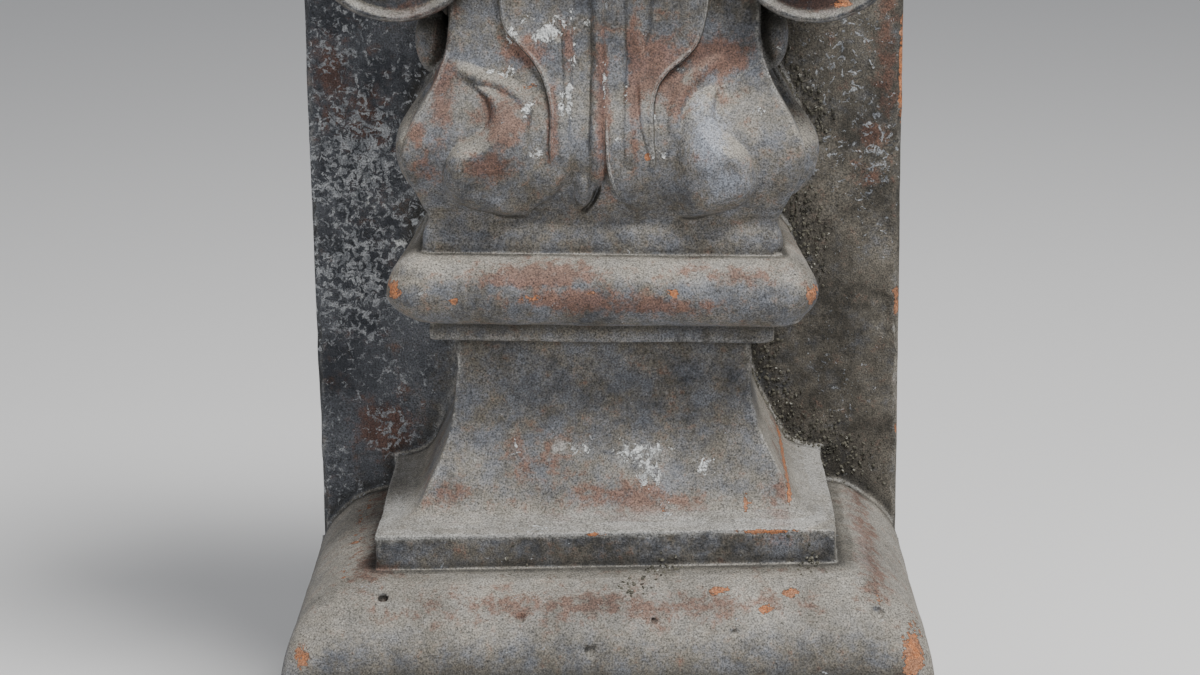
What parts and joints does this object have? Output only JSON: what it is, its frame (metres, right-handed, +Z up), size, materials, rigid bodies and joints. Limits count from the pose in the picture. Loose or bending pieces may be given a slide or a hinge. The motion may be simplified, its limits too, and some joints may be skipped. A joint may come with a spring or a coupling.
{
  "type": "ionic pilaster capital",
  "caption": "Engaged Ionic capital in painted terracotta: slab, cushion base, hollow-sided pedestal, torus, acanthus bulb, volutes and abacus.",
  "frame": {"origin": "middle of the underside, in plan the centre of the overall box", "axes": "+Z up, -Y out of the carved front, +Y towards the wall, +X to the right seen from the front"},
  "size_m": [0.408, 0.279, 0.65],
  "materials": {
    "painted_terracotta": "weathered slate-grey paint over orange fired clay, matt, with lime stains and mortar"
  },
  "bodies": {
    "root": {"capital_block": "painted_terracotta"}
  },
  "joints": []
}
